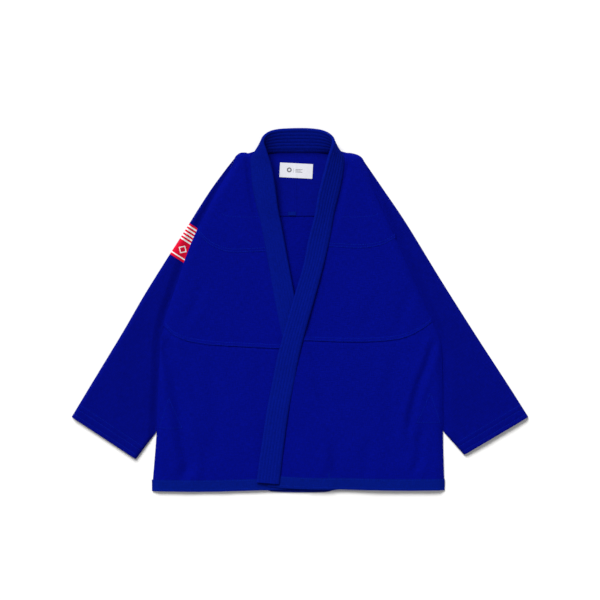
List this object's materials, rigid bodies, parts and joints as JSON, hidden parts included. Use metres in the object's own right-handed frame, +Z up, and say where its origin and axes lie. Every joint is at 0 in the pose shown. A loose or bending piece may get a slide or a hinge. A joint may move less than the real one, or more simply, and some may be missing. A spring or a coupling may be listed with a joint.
{
  "type": "martial arts jacket",
  "caption": "Grappling jacket laid flat, left front lapped over the right, with a stiff foam-cored collar band, sleeves swung down, side vents and fronts that fold open.",
  "frame": {"origin": "on the table under the middle of the jacket: half way between the cuffs' outer corners, and half way from the collar rim to the back hem", "axes": "+Z up from the table, +Y from the hem to the collar, +X to the wearer's left"},
  "size_m": [0.956, 0.759, 0.0335],
  "materials": {
    "jacket_cloth": "pearl-weave cotton, royal blue, matte",
    "collar_cloth": "rip-resistant cotton twill over a foam core, quilted in parallel rows",
    "hem_tape": "cotton twill tape, double stitched",
    "yoke_lining": "plain cotton lining",
    "label": "woven satin, white with a grey pattern",
    "emblem": "embroidered, red and white",
    "foam_core": "closed-cell foam"
  },
  "bodies": {
    "jacket_back": {"armhole_seam_left": "jacket_cloth", "armhole_seam_right": "jacket_cloth", "back_hem_tape": "hem_tape", "back_panel": "jacket_cloth", "chest_side_left": "jacket_cloth", "chest_side_right": "jacket_cloth", "collar_back": "collar_cloth", "collar_core": "foam_core", "emblem_patch": "emblem", "hem_tape_side_left": "hem_tape", "hem_tape_side_right": "hem_tape", "neck_label": "label", "shoulder_fold_left": "jacket_cloth", "shoulder_fold_right": "jacket_cloth", "shoulder_patch_side_left": "jacket_cloth", "shoulder_patch_side_right": "jacket_cloth", "side_seam_left": "jacket_cloth", "side_seam_right": "jacket_cloth", "skirt_side_left": "jacket_cloth", "skirt_side_right": "jacket_cloth", "sleeve_head_back_left": "jacket_cloth", "sleeve_head_back_right": "jacket_cloth", "sleeve_head_fold_left": "jacket_cloth", "sleeve_head_fold_right": "jacket_cloth", "sleeve_head_front_left": "jacket_cloth", "sleeve_head_front_right": "jacket_cloth", "vent_patch_left": "jacket_cloth", "vent_patch_right": "jacket_cloth", "yoke_lining_left": "yoke_lining", "yoke_lining_right": "yoke_lining"},
    "left_front": {"chest_flap_left": "jacket_cloth", "skirt_flap_left": "jacket_cloth", "shoulder_patch_flap_left": "jacket_cloth", "hem_tape_flap_left": "hem_tape", "lapel_left": "collar_cloth", "lapel_core_left": "foam_core"},
    "right_front": {"chest_flap_right": "jacket_cloth", "skirt_flap_right": "jacket_cloth", "shoulder_patch_flap_right": "jacket_cloth", "hem_tape_flap_right": "hem_tape", "lapel_right": "collar_cloth", "lapel_core_right": "foam_core"},
    "left_sleeve": {"sleeve_front_left": "jacket_cloth", "sleeve_back_left": "jacket_cloth", "sleeve_fold_left": "jacket_cloth", "sleeve_under_seam_left": "jacket_cloth", "cuff_tape_left": "jacket_cloth"},
    "right_sleeve": {"sleeve_front_right": "jacket_cloth", "sleeve_back_right": "jacket_cloth", "sleeve_fold_right": "jacket_cloth", "sleeve_under_seam_right": "jacket_cloth", "cuff_tape_right": "jacket_cloth"}
  },
  "joints": [
    {"name": "left_front_fold", "type": "hinge", "parent": "jacket_back", "child": "left_front", "pos_m": [0.094, 0.325, 0.0224], "axis": [-0.2617, 0.9652, 0], "range_deg": [0, 120]},
    {"name": "right_front_fold", "type": "hinge", "parent": "jacket_back", "child": "right_front", "pos_m": [-0.104, 0.325, 0.015], "axis": [-0.2488, -0.9685, 0], "range_deg": [0, 54]},
    {"name": "left_sleeve_fold", "type": "hinge", "parent": "jacket_back", "child": "left_sleeve", "pos_m": [0.301, -0.1, 0.0112], "axis": [0, -1, 0], "range_deg": [0, 65]},
    {"name": "right_sleeve_fold", "type": "hinge", "parent": "jacket_back", "child": "right_sleeve", "pos_m": [-0.301, -0.1, 0.0112], "axis": [0, 1, 0], "range_deg": [0, 65]}
  ],
  "couplings": [
    {"joint": "right_front_fold", "follows": "left_front_fold", "ratio": 0.45}
  ]
}
